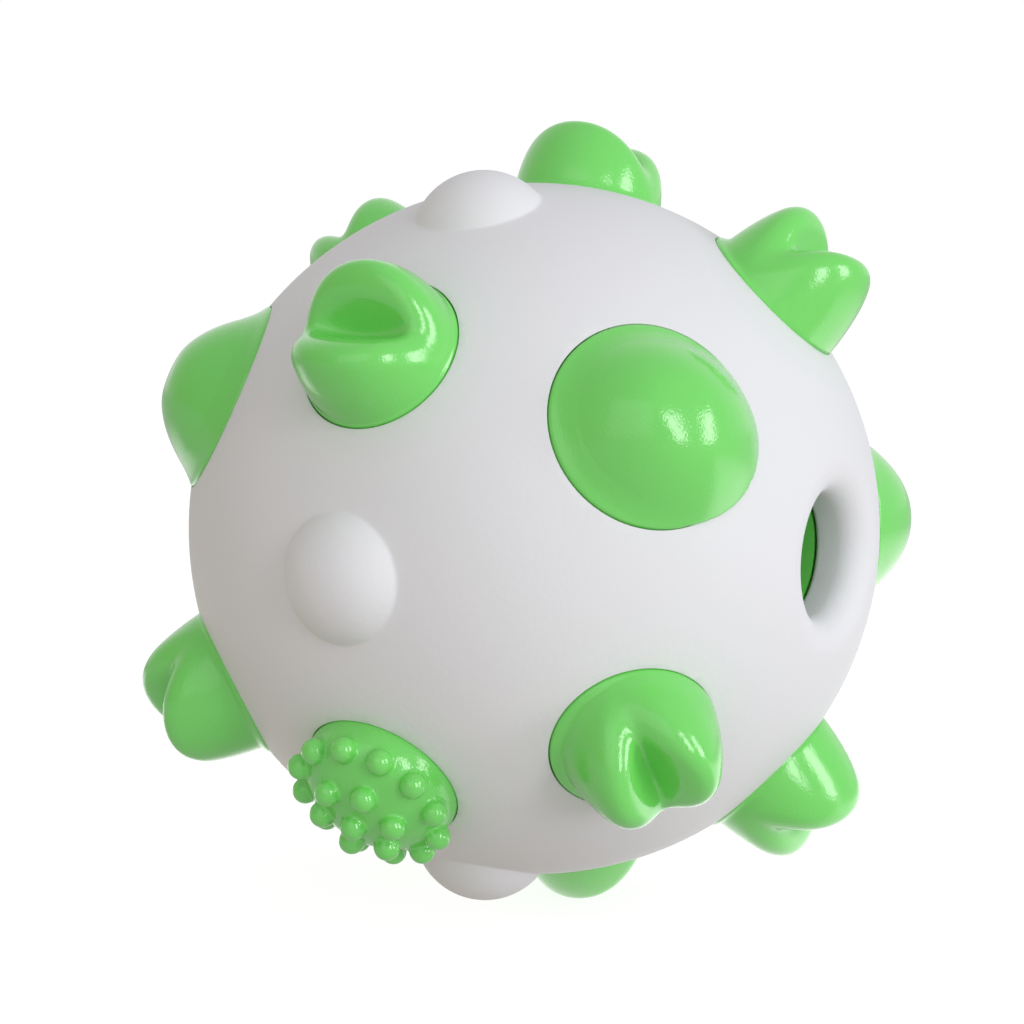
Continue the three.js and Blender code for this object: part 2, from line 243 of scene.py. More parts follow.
class EndKnobSizes(bpy.types.PropertyGroup):
    """Sizes of the two-lobed knobs of the front and the rear ring"""

    foot: length("Foot", "Radius at the foot", 7.68)
    oval: share("Oval", "Share by which the head is longer along the ball's axis", 0)
    taper: tilt("Taper", "Lean of the flank", 10)
    shift: length("Shift", "Shift towards the knob's own end of the ball", 0.56)
    crown: length("Crown", "Height over the ball that the top has without its groove", 9.35)
    crown_radius: length("Crown radius", "Radius of the top", 9.7)
    rounding: length("Rounding", "Rounding between the flank and the top", 3)
    fillet: length("Fillet", "Fillet at the foot", 0.3)
    groove: length("Groove", "Height over the ball at which the groove's walls meet", 3.05)
    groove_shift: length("Groove shift", "Shift of the groove towards the knob's own end", 0.26)
    groove_softness: length("Groove softness", "Rounding of the groove's bottom", 0.35)
    groove_fade: length("Groove fade", "Distance from the middle at which the bottom is twice as soft", 4)
    groove_wall: tilt("Groove wall", "Lean of the groove's walls", 30)
    lobe_rounding: length("Lobe rounding", "Rounding of the lobes towards the groove", 3.1)


class MiddleKnobSizes(bpy.types.PropertyGroup):
    """Sizes of the two-lobed knobs of the middle ring"""

    foot: length("Foot", "Radius at the foot", 8)
    oval: share("Oval", "Share by which the head is longer along the ball's axis", 0)
    taper: tilt("Taper", "Lean of the flank", 1.5)
    shift: length("Shift", "Shift of the knob on its stem", 0)
    crown: length("Crown", "Height over the ball that the top has without its groove", 8.35)
    crown_radius: length("Crown radius", "Radius of the top", 9.7)
    rounding: length("Rounding", "Rounding between the flank and the top", 3.4)
    fillet: length("Fillet", "Fillet at the foot", 0.2)
    groove: length("Groove", "Height over the ball at which the groove's walls meet", 1.7)
    groove_shift: length("Groove shift", "Shift of the groove on the stem", 0)
    groove_softness: length("Groove softness", "Rounding of the groove's bottom", 0.4)
    groove_fade: length("Groove fade", "Distance from the middle at which the bottom is twice as soft", 4)
    groove_wall: tilt("Groove wall", "Lean of the groove's walls", 32)
    lobe_rounding: length("Lobe rounding", "Rounding of the lobes towards the groove", 2.8)


class Finishes(bpy.types.PropertyGroup):
    """Colours of the rubber"""

    white: colour("White", "Colour of the shell", (0.80, 0.80, 0.81))
    green: colour("Green", "Colour of the studs and the core", (0.18, 0.74, 0.125))


class StudioSettings(bpy.types.PropertyGroup):
    """Camera and lights"""

    lens: FloatProperty(
        name="Lens", description="Focal length of the camera", default=93.23, unit="CAMERA"
    )
    camera_place: FloatVectorProperty(
        name="Camera place",
        description="Where the camera stands, from the ball's centre",
        default=(0.1372, -0.2296, 0.0425),
        subtype="TRANSLATION",
        unit="LENGTH",
    )
    camera_azimuth: FloatProperty(
        name="Azimuth",
        description="Camera's turn about the vertical, from the view along +Y",
        default=math.radians(31.34),
        subtype="ANGLE",
    )
    camera_elevation: FloatProperty(
        name="Elevation", description="Camera's height angle", default=math.radians(8.68), subtype="ANGLE"
    )
    softbox: FloatProperty(name="Softboxes", description="Brightness of the strip softboxes", default=5)
    fill: FloatProperty(name="Fill", description="Brightness of the wide light at the front", default=0.45)
    sky_cool: colour("Cool side", "Light from the side of the softboxes", (0.585, 0.595, 0.645))
    sky_warm: colour("Warm side", "Light from the other side of the room", (0.46, 0.41, 0.335))


def sizes():
    """The shell's and the studs' sizes."""
    scene = bpy.context.scene
    return scene.chew_ball_shell, scene.chew_ball_studs


# Profiles, as lists of (distance from the axis, height along it)


def reach(radius, distance):
    """How far along an axis through its centre a sphere's surface is, at a distance from that axis."""
    return math.sqrt(radius**2 - distance**2)


def arc(centre, radius, start, end, steps):
    """Points of an arc from one angle to another, in degrees from the radial direction."""
    angles = [math.radians(start + (end - start) * i / steps) for i in range(steps + 1)]
    return [(centre[0] + radius * math.cos(a), centre[1] + radius * math.sin(a)) for a in angles]


def run_on(points, distance):
    """The point at a distance past the last one, straight on."""
    (r0, h0), (r1, h1) = points[-2:]
    step = math.hypot(r1 - r0, h1 - h0)
    return r1 + (r1 - r0) / step * distance, h1 + (h1 - h0) / step * distance


def rounded_rim(hole_radius, rounding, steps=ROUNDING_STEPS):
    """A hole's rim, from its straight wall out to just past the ball's surface."""
    centre_r = hole_radius + rounding
    centre = (centre_r, reach(BALL_RADIUS - rounding, centre_r))
    tangent = math.degrees(math.atan2(centre[1], centre[0]))
    rim = arc(centre, rounding, 180, tangent + RUN_OUT, steps)
    return [*rim, run_on(rim, RIM_RUN)]


def hole_profile(hole_radius, inner):
    """The space of a hole through the shell: a straight wall, a slight flare and a rounded rim."""
    shell, _ = sizes()
    rim = rounded_rim(hole_radius, shell.hole_rounding)
    wall = hole_radius - shell.hole_flare
    flare = rim[0][1] - shell.flare_depth
    top = BALL_RADIUS + OVER_BALL
    return [(0, inner), (wall, inner), (wall, flare), *rim, (rim[-1][0], top), (0, top)]


def treat_hole_profile():
    """The treat hole: a throat with a deep rounded lip, and a small rounding at its inner end."""
    shell, _ = sizes()
    inner = reach(BALL_RADIUS - shell.wall, shell.treat_hole)
    rim = rounded_rim(shell.treat_hole, shell.treat_lip, 2 * ROUNDING_STEPS)
    centre = (shell.treat_hole + shell.throat_rounding, inner + THROAT_LIFT * shell.throat_rounding)
    throat = arc(centre, shell.throat_rounding, THROAT_START, 180, ROUNDING_STEPS)
    low = inner - UNDER_SURFACE
    top = BALL_RADIUS + OVER_BALL
    return [(0, low), (throat[0][0], low), *throat, *rim, (rim[-1][0], top), (0, top)]


def bump_profile():
    """A round bump with a fillet at its foot, rooted in the shell's wall."""
    shell, _ = sizes()
    tip = BALL_RADIUS + shell.bump_height
    rise = tip - reach(BALL_RADIUS, shell.bump)
    radius = (shell.bump**2 + rise**2) / (2 * rise)
    centre = tip - radius
    fillet = shell.bump_fillet
    far, near = BALL_RADIUS + fillet, radius + fillet
    fillet_h = (far**2 - near**2 + centre**2) / (2 * centre)
    fillet_r = reach(far, fillet_h)
    on_ball = 180 + math.degrees(math.atan2(fillet_h, fillet_r))
    on_bump = 180 + math.degrees(math.atan2(fillet_h - centre, fillet_r))
    foot = arc((fillet_r, fillet_h), fillet, on_bump, on_ball - RUN_OUT, ROUNDING_STEPS)
    cap = arc((0, centre), radius, 90, on_bump - 180, CAP_STEPS)
    root = BALL_RADIUS - UNDER_SURFACE
    down = run_on(foot, FOOT_RUN)
    return [*cap, *foot[1:], down, (down[0], root), (0, root)][::-1]


def plug_profile(hole_radius):
    """The part of a stud that is under the shell: a flange and a stem up to the stud's edge."""
    shell, studs = sizes()
    stem = hole_radius - studs.gap
    outer = BALL_RADIUS - shell.wall - studs.fit
    inner = outer - studs.flange
    flange_angle = math.degrees(math.asin((hole_radius + studs.flange_lip) / outer))
    stem_angle = math.degrees(math.asin(stem / outer))
    edge = reach(BALL_RADIUS, stem) + studs.rise
    points = [
        *arc((0, 0), inner, 90, 90 - flange_angle, ROUNDING_STEPS),
        *arc((0, 0), outer, 90 - flange_angle, 90 - stem_angle, FLANGE_STEPS),
        (stem, edge),
    ]
    return points, stem, edge


def head_profile(form, edge):
    """A stud's head: a leaning flank, a rounding and a gently curved top."""
    top = BALL_RADIUS + form.crown
    middle = top - form.crown_radius
    ahead = Vector((-math.sin(form.taper), math.cos(form.taper)))
    start = Vector((form.foot, edge - middle)) - form.rounding * Vector((ahead.y, -ahead.x))
    lean = start.dot(ahead)
    along = math.sqrt(lean**2 - start.length_squared + (form.crown_radius - form.rounding) ** 2) - lean
    centre = start + along * ahead
    flank = math.degrees(form.taper)
    crown = math.degrees(math.atan2(centre.y, centre.x))
    return [
        (0, edge),
        (form.foot, edge),
        *arc((centre.x, centre.y + middle), form.rounding, flank, crown, ROUNDING_STEPS),
        *arc((0, middle), form.crown_radius, crown, 90, CAP_STEPS)[1:],
    ]


# Moulded surfaces, as depths of points: negative inside, positive outside


def round_max(a, b, radius):
    """The greater of two depths, with a rounding where they meet."""
    corner = np.hypot(np.maximum(a + radius, 0), np.maximum(b + radius, 0))
    return np.minimum(np.maximum(a, b), -radius) + corner


def head_depth(points, form, stem, edge):
    """How far points are outside a stud whose head stands on its stem with a fillet, clear of the shell."""
    studs = bpy.context.scene.chew_ball_studs
    x, y, z = points.T
    out = np.hypot((x - form.shift) / (1 + form.oval), y)
    lean = (out - form.foot) * math.cos(form.taper) + (z - edge) * math.sin(form.taper)
    flank = round_max(lean, out - form.foot, studs.foot_rounding)
    crown = np.hypot(out, z - BALL_RADIUS - form.crown + form.crown_radius) - form.crown_radius
    head = round_max(flank, crown, form.rounding)
    if hasattr(form, "groove"):
        softness = form.groove_softness * (1 + (y / form.groove_fade) ** 2)
        aside = np.hypot(x - form.groove_shift, softness)
        above = z - BALL_RADIUS - form.groove
        groove = above * math.sin(form.groove_wall) - aside * math.cos(form.groove_wall)
        head = round_max(head, groove, form.lobe_rounding)
    around = np.hypot(x, y) - stem
    slope = (z - edge) * math.cos(studs.shoulder) + around * math.sin(studs.shoulder)
    top = np.maximum(slope, z - edge - studs.shoulder_height)
    base = round_max(around, top, studs.edge_rounding)
    both = -round_max(-head, -base, form.fillet)
    if hasattr(form, "nub"):
        gaps = [np.linalg.norm(points - place, axis=1) for place in nub_places(form)]
        both = -round_max(-both, form.nub - np.min(gaps, axis=0), form.nub_fillet)
    under = BALL_RADIUS + studs.clearance - np.sqrt(x**2 + y**2 + z**2)
    past_stem = around - studs.gap / 2
    return round_max(both, np.minimum(past_stem, under), studs.overhang_rounding)


def draw_onto(obj, depth, above, rounds):
    """Moves the points of a mesh that are over a height onto the surface where the depth is zero."""
    points = np.empty(3 * len(obj.data.vertices))
    obj.data.vertices.foreach_get("co", points)
    points = points.reshape(-1, 3)
    chosen = points[:, 2] > above
    for _ in range(rounds):
        here = points[chosen]
        steps = PROBE * np.eye(3)
        slope = np.stack([depth(here + step) - depth(here - step) for step in steps], axis=1) / (2 * PROBE)
        steep = np.maximum((slope**2).sum(axis=1), LEAST_SLOPE)
        points[chosen] = here - slope * (depth(here) / steep)[:, None]
    obj.data.vertices.foreach_set("co", points.ravel())
    obj.data.update()


# Modelling steps


def select_only(obj):
    """Selects one object and makes it the active one."""
    bpy.ops.object.select_all(action="DESELECT")
    obj.select_set(True)
    bpy.context.view_layer.objects.active = obj


def drawn_outline(name, points):
    """A chain of edges in the XZ plane, drawn by extruding one point on to the next. Stays in edit mode."""
    bpy.ops.object.select_all(action="DESELECT")
    bpy.ops.mesh.primitive_plane_add(size=MM)
    obj = bpy.context.active_object
    obj.name = obj.data.name = name
    bpy.ops.object.mode_set(mode="EDIT")
    bpy.ops.mesh.select_all(action="SELECT")
    bpy.ops.mesh.merge(type="CENTER")
    bpy.ops.transform.translate(value=(points[0][0], 0, points[0][1]))
    for (r0, h0), (r1, h1) in zip(points, points[1:]):
        bpy.ops.mesh.extrude_vertices_move(TRANSFORM_OT_translate={"value": (r1 - r0, 0, h1 - h0)})
    return obj


def close_mesh():
    """In edit mode: welds the seam and the poles, and turns all faces outwards."""
    bpy.ops.mesh.select_all(action="SELECT")
    bpy.ops.mesh.remove_doubles(threshold=WELD)
    bpy.ops.mesh.normals_make_consistent(inside=False)
    bpy.ops.object.mode_set(mode="OBJECT")


def turned(name, profile):
    """A profile spun about Z."""
    obj = drawn_outline(name, profile)
    bpy.ops.mesh.select_all(action="SELECT")
    bpy.ops.mesh.spin(steps=TURN_STEPS, angle=math.tau, center=(0, 0, 0), axis=(0, 0, 1))
    close_mesh()
    return obj


def prism(name, outline, width):
    """An outline in the XZ plane, filled and extruded along Y to both sides."""
    obj = drawn_outline(name, outline)
    bpy.ops.mesh.select_all(action="SELECT")
    bpy.ops.mesh.edge_face_add()
    bpy.ops.transform.translate(value=(0, -width / 2, 0))
    bpy.ops.mesh.extrude_region_move(TRANSFORM_OT_translate={"value": (0, width, 0)})
    close_mesh()
    return obj


def turn_to(obj, turn):
    """Turns a piece that was made along Z, and leaves its place in its mesh."""
    select_only(obj)
    obj.matrix_world = turn.to_4x4()
    bpy.ops.object.transform_apply(location=True, rotation=True, scale=True)


def copy_of(obj, name):
    """A copy with its own mesh."""
    select_only(obj)
    bpy.ops.object.duplicate()
    new = bpy.context.active_object
    new.name = new.data.name = name
    return new


def joined(objects):
    """Several objects as one, under the first one's name."""
    bpy.ops.object.select_all(action="DESELECT")
    for obj in objects:
        obj.select_set(True)
    bpy.context.view_layer.objects.active = objects[0]
    if len(objects) > 1:
        bpy.ops.object.join()
    return objects[0]


def combine(obj, tool, operation):
    """Joins a tool to a piece or cuts it away, and removes the tool."""
    select_only(obj)
    modifier = obj.modifiers.new(operation.title(), "BOOLEAN")
    modifier.operation = operation
    modifier.solver = "EXACT"
    modifier.object = tool
    bpy.ops.object.modifier_apply(modifier=modifier.name)
    bpy.data.objects.remove(tool)


def soften(obj, voxel, rounds):
    """Gives a piece the soft edges of a moulding: an even mesh, smoothed."""
    select_only(obj)
    remesh = obj.modifiers.new("Even mesh", "REMESH")
    remesh.mode = "VOXEL"
    remesh.voxel_size = voxel
    bpy.ops.object.modifier_apply(modifier=remesh.name)
    even_out(obj, rounds)


def even_out(obj, rounds):
    """Smooths a mesh a little."""
    smooth = obj.modifiers.new("Soft edges", "SMOOTH")
    smooth.factor = SMOOTH_FACTOR
    smooth.iterations = rounds
    bpy.ops.object.modifier_apply(modifier=smooth.name)


def shade(obj):
    """Shades a piece smoothly, apart from its sharp edges."""
    select_only(obj)
    bpy.ops.object.shade_smooth_by_angle(angle=SMOOTH_ANGLE)


def stud_turn(axis):
    """The turn that takes Z to a stud's axis, and X towards the treat hole's end of the ball."""
    out = axis.normalized()
    ahead = (TREAT_AXIS - TREAT_AXIS.dot(out) * out).normalized()
    return Matrix((ahead, out.cross(ahead), out)).transposed()


def end_turn(name):
    """The turn of a stud of the front or the rear ring, with X towards its own end of the ball."""
    about = math.pi if name.startswith("rear") else 0
    return stud_turn(STUD_AXES[name]) @ Matrix.Rotation(about, 3, "Z")


def hand_over(obj, node, material):
    """Finishes a piece that stands for a node of the frame."""
    shade(obj)
    obj.data.materials.clear()
    obj.data.materials.append(material)
    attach(obj, frame["nodes"][node]["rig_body"])
    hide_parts(node)


# Finishes


def link(tree, source, target):
    """Joins two sockets of a node tree."""
    tree.links.new(source, target)


def moulded_grain():
    """A group with the fine grain of a moulded surface: its height, and a slow drift of tone."""
    name = "moulded_grain"
    if name in bpy.data.node_groups:
        return bpy.data.node_groups[name]
    group = bpy.data.node_groups.new(name, "ShaderNodeTree")
    group.interface.new_socket("Grain per metre", in_out="INPUT", socket_type="NodeSocketFloat")
    drift_size = group.interface.new_socket("Drift per metre", in_out="INPUT", socket_type="NodeSocketFloat")
    drift_size.default_value = 60
    group.interface.new_socket("Height", in_out="OUTPUT", socket_type="NodeSocketFloat")
    group.interface.new_socket("Drift", in_out="OUTPUT", socket_type="NodeSocketFloat")
    nodes = group.nodes
    entry = nodes.new("NodeGroupInput")
    leave = nodes.new("NodeGroupOutput")
    place = nodes.new("ShaderNodeTexCoord")
    fine = nodes.new("ShaderNodeTexNoise")
    fine.inputs["Detail"].default_value = 1
    drift = nodes.new("ShaderNodeTexNoise")
    drift.inputs["Detail"].default_value = 2
    link(group, place.outputs["Object"], fine.inputs["Vector"])
    link(group, place.outputs["Object"], drift.inputs["Vector"])
    link(group, entry.outputs["Grain per metre"], fine.inputs["Scale"])
    link(group, entry.outputs["Drift per metre"], drift.inputs["Scale"])
    link(group, fine.outputs["Fac"], leave.inputs["Height"])
    link(group, drift.outputs["Fac"], leave.inputs["Drift"])
    return group


def rubber(name, base, tint, roughness, spread, grain, bump, gleam):
    """A moulded rubber: a colour that drifts to a tint of it, and a grain that the gloss varies with."""
    if name in bpy.data.materials:
        return bpy.data.materials[name]
    material = bpy.data.materials.new(name)
    material.use_nodes = True
    tree = material.node_tree
    shader = tree.nodes["Principled BSDF"]
    shader.inputs["Specular IOR Level"].default_value = gleam
    texture = tree.nodes.new("ShaderNodeGroup")
    texture.node_tree = moulded_grain()
    texture.inputs["Grain per metre"].default_value = grain
    tone = tree.nodes.new("ShaderNodeMix")
    tone.data_type = "RGBA"
    tone.inputs["A"].default_value = (*base, 1)
    tone.inputs["B"].default_value = (*(channel * tint for channel in base), 1)
    gloss = tree.nodes.new("ShaderNodeMapRange")
    gloss.inputs["To Min"].default_value = roughness - spread
    gloss.inputs["To Max"].default_value = roughness + spread
    relief = tree.nodes.new("ShaderNodeBump")
    relief.inputs["Strength"].default_value = bump
    relief.inputs["Distance"].default_value = GRAIN_HEIGHT
    link(tree, texture.outputs["Drift"], tone.inputs["Factor"])
    link(tree, tone.outputs["Result"], shader.inputs["Base Color"])
    link(tree, texture.outputs["Height"], gloss.inputs["Value"])
    link(tree, gloss.outputs["Result"], shader.inputs["Roughness"])
    link(tree, texture.outputs["Height"], relief.inputs["Height"])
    link(tree, relief.outputs["Normal"], shader.inputs["Normal"])
    return material


def white_rubber():
    """Matte white, for the shell."""
    return rubber(
        "white_matte_rubber",
        bpy.context.scene.chew_ball_finishes.white,
        tint=0.97,
        roughness=0.58,
        spread=0.05,
        grain=1700,
        bump=0.22,
        gleam=0.3,
    )


def green_rubber():
    """Glossy green, for the studs."""
    return rubber(
        "green_glossy_rubber",
        bpy.context.scene.chew_ball_finishes.green,
        tint=0.95,
        roughness=0.15,
        spread=0.05,
        grain=4300,
        bump=0.18,
        gleam=0.9,
    )


def core_rubber():
    """Satin green, for the core."""
    return rubber(
        "green_satin_rubber",
        bpy.context.scene.chew_ball_finishes.green,
        tint=0.9,
        roughness=0.4,
        spread=0.05,
        grain=1700,
        bump=0.2,
        gleam=0.5,
    )


# Operators, one for each group of pieces


class MakeShell(bpy.types.Operator):
    """Models the white shell with its holes, bumps and treat hole, and parts it at the seam"""

    bl_idname = "chew_ball.make_shell"
    bl_label = "White shell"

    def execute(self, context):
        shell, _ = sizes()
        bpy.ops.object.select_all(action="DESELECT")
        bpy.ops.mesh.primitive_ico_sphere_add(subdivisions=BALL_SUBDIVISIONS, radius=BALL_RADIUS)
        body = context.active_object
        body.name = body.data.name = "white_shell_front"
        bpy.ops.mesh.primitive_ico_sphere_add(
            subdivisions=INSIDE_SUBDIVISIONS, radius=BALL_RADIUS - shell.wall
        )
        combine(body, context.active_object, "DIFFERENCE")
        combine(body, self.bumps(), "UNION")
        combine(body, self.holes(), "DIFFERENCE")
        rear = copy_of(body, "white_shell_rear")
        self.part(body, keep_front=True)
        self.part(rear, keep_front=False)
        hand_over(body, "shell_front", white_rubber())
        hand_over(rear, "shell_rear", white_rubber())
        return {"FINISHED"}

    def bumps(self):
        """All the bumps, halfway between the studs of the middle ring."""
        middle = [axis for name, axis in STUD_AXES.items() if name.startswith("middle")]
        pattern = turned("bump", bump_profile())
        made = []
        for i, axis in enumerate(middle):
            following = middle[(i + 1) % len(middle)]
            bump = copy_of(pattern, f"bump_{i + 1}")
            turn_to(bump, stud_turn(axis + following))
            made.append(bump)
        bpy.data.objects.remove(pattern)
        return joined(made)

    def holes(self):
        """The space of all the holes."""
        shell, studs = sizes()
        inner = BALL_RADIUS - shell.wall - studs.flange
        radii = {"knob": shell.knob_hole, "nubbed": shell.nubbed_hole, "dome": shell.dome_hole}
        patterns = {
            kind: turned("hole", hole_profile(radius, inner)) for kind, radius in radii.items()
        }
        made = []
        for name, axis in STUD_AXES.items():
            hole = copy_of(patterns[name.split("_")[1]], f"hole_{name}")
            turn_to(hole, stud_turn(axis))
            made.append(hole)
        for pattern in patterns.values():
            bpy.data.objects.remove(pattern)
        treat = turned("treat_hole", treat_hole_profile())
        turn_to(treat, TO_TREAT_END)
        return joined([*made, treat])

    def part(self, obj, keep_front):
        """Cuts the shell at its seam and keeps one side."""
        select_only(obj)
        bpy.ops.object.mode_set(mode="EDIT")
        bpy.ops.mesh.select_all(action="SELECT")
        bpy.ops.mesh.bisect(
            plane_co=(SEAM, 0, 0),
            plane_no=(1, 0, 0),
            use_fill=True,
            clear_inner=keep_front,
            clear_outer=not keep_front,
        )
        bpy.ops.object.mode_set(mode="OBJECT")


class MakeCore(bpy.types.Operator):
    """Models the two halves of the hollow green core"""

    bl_idname = "chew_ball.make_core"
    bl_label = "Green core"

    def execute(self, context):
        shell, studs = sizes()
        outer, inner = shell.core_radius, shell.core_radius - shell.core_wall
        throat, neck = shell.treat_hole, shell.treat_hole + shell.neck_wall
        end = BALL_RADIUS - shell.wall - studs.fit
        mouth = math.degrees(math.acos(throat / inner))
        root = math.degrees(math.acos(neck / outer))
        front = [
            *arc((0, 0), inner, 0, mouth, CAP_STEPS),
            (throat, reach(end, throat)),
            (neck, reach(end, neck)),
            *arc((0, 0), outer, root, 0, CAP_STEPS),
        ]
        rear = [*arc((0, 0), inner, 90, 0, CAP_STEPS), *arc((0, 0), outer, 0, 90, CAP_STEPS)]
        half = turned("green_core_front", [*front, front[0]])
        turn_to(half, TO_TREAT_END)
        hand_over(half, "core_front", core_rubber())
        half = turned("green_core_rear", rear)
        turn_to(half, TO_TREAT_END.inverted())
        hand_over(half, "core_rear", core_rubber())
        return {"FINISHED"}


def place_copies(pattern, names, turn_of):
    """Puts a copy of a stud at each of the named places."""
    for name in names:
        stud = copy_of(pattern, f"green_{name}")
        turn_to(stud, turn_of(name))
        hand_over(stud, name, green_rubber())
    bpy.data.objects.remove(pattern)


def nub_places(form):
    """Centres of the nubs, in rings on the round top of a nubbed dome."""
    middle = BALL_RADIUS + form.crown - form.crown_radius
    places = []
    for count, distance in NUB_RINGS:
        height = middle + reach(form.crown_radius + form.nub_rise, distance)
        for i in range(count):
            angle = form.nub_turn + math.tau * i / count
            places.append((distance * math.cos(angle), distance * math.sin(angle), height))
    return places


def nubs(form):
    """All the nubs as one object."""
    made = []
    for place in nub_places(form):
        bpy.ops.object.select_all(action="DESELECT")
        bpy.ops.mesh.primitive_ico_sphere_add(
            subdivisions=NUB_SUBDIVISIONS, radius=form.nub, location=place
        )
        bpy.ops.object.transform_apply(location=True, rotation=False, scale=False)
        made.append(bpy.context.active_object)
    return joined(made)


def moulded_stud(name, hole_radius, form):
    """A stud with a shaped head: cut from turned solids, then drawn onto its soft moulded surface."""
    points, stem, edge = plug_profile(hole_radius)

    def depth(places):
        return head_depth(places, form, stem, edge)

    head = turned("head", head_profile(form, edge))
    if hasattr(form, "groove"):
        combine(head, groove_space(form), "DIFFERENCE")
    select_only(head)
    head.location.x = form.shift
    bpy.ops.object.transform_apply(location=True, rotation=False, scale=False)
    stud = turned(name, [*points, (0, edge)])
    head.location.z = -HEAD_SINK
    combine(stud, head, "UNION")
    if hasattr(form, "nub"):
        combine(stud, nubs(form), "UNION")
    soften(stud, STUD_VOXEL, SOFT_ROUNDS)
    root = edge - DRAWN_DEPTH
    draw_onto(stud, depth, root, DRAW_ROUNDS)
    even_out(stud, EVEN_ROUNDS)
    draw_onto(stud, depth, root, LAST_DRAW_ROUNDS)
    return stud


def groove_space(form):
    """The space of the groove along Y: two leaning walls."""
    bottom = BALL_RADIUS + form.groove + form.groove_softness / math.tan(form.groove_wall)
    high = GROOVE_REACH * form.crown
    wide = high * math.tan(form.groove_wall)
    across = form.groove_shift - form.shift
    outline = [(across, bottom), (across + wide, bottom + high), (across - wide, bottom + high)]
    return prism("groove", outline, GROOVE_REACH * 2 * form.foot)


class MakeDomes(bpy.types.Operator):
    """Models the smooth domes"""

    bl_idname = "chew_ball.make_domes"
    bl_label = "Smooth domes"

    def execute(self, context):
        shell, _ = sizes()
        names = [name for name in STUD_AXES if "dome" in name and name != WIDE_DOME]
        pattern = moulded_stud("dome", shell.dome_hole, context.scene.chew_ball_domes)
        place_copies(pattern, names, end_turn)
        pattern = moulded_stud("wide_dome", shell.dome_hole, context.scene.chew_ball_wide_dome)
        place_copies(pattern, [WIDE_DOME], end_turn)
        return {"FINISHED"}


class MakeNubbedDomes(bpy.types.Operator):
    """Models the lower domes with rings of small nubs"""

    bl_idname = "chew_ball.make_nubbed_domes"
    bl_label = "Nubbed domes"

    def execute(self, context):
        shell, _ = sizes()
        pattern = moulded_stud("nubbed", shell.nubbed_hole, context.scene.chew_ball_nubbed)
        names = [name for name in STUD_AXES if "nubbed" in name]
        place_copies(pattern, names, lambda name: stud_turn(STUD_AXES[name]))
        return {"FINISHED"}


class MakeKnobs(bpy.types.Operator):
    """Models the two-lobed knobs"""

    bl_idname = "chew_ball.make_knobs"
    bl_label = "Two-lobed knobs"

    def execute(self, context):
        shell, _ = sizes()
        scene = context.scene
        across = Matrix.Rotation(math.pi / 2, 3, "Z")
        knobs = [name for name in STUD_AXES if "knob" in name]
        middle = [name for name in knobs if name.startswith("middle")]
        ends = [name for name in knobs if name not in middle]
        pattern = moulded_stud("middle_knob", shell.knob_hole, scene.chew_ball_middle_knobs)
        place_copies(pattern, middle, lambda name: stud_turn(STUD_AXES[name]) @ across)
        pattern = moulded_stud("end_knob", shell.knob_hole, scene.chew_ball_end_knobs)
        place_copies(pattern, ends, end_turn)
        return {"FINISHED"}


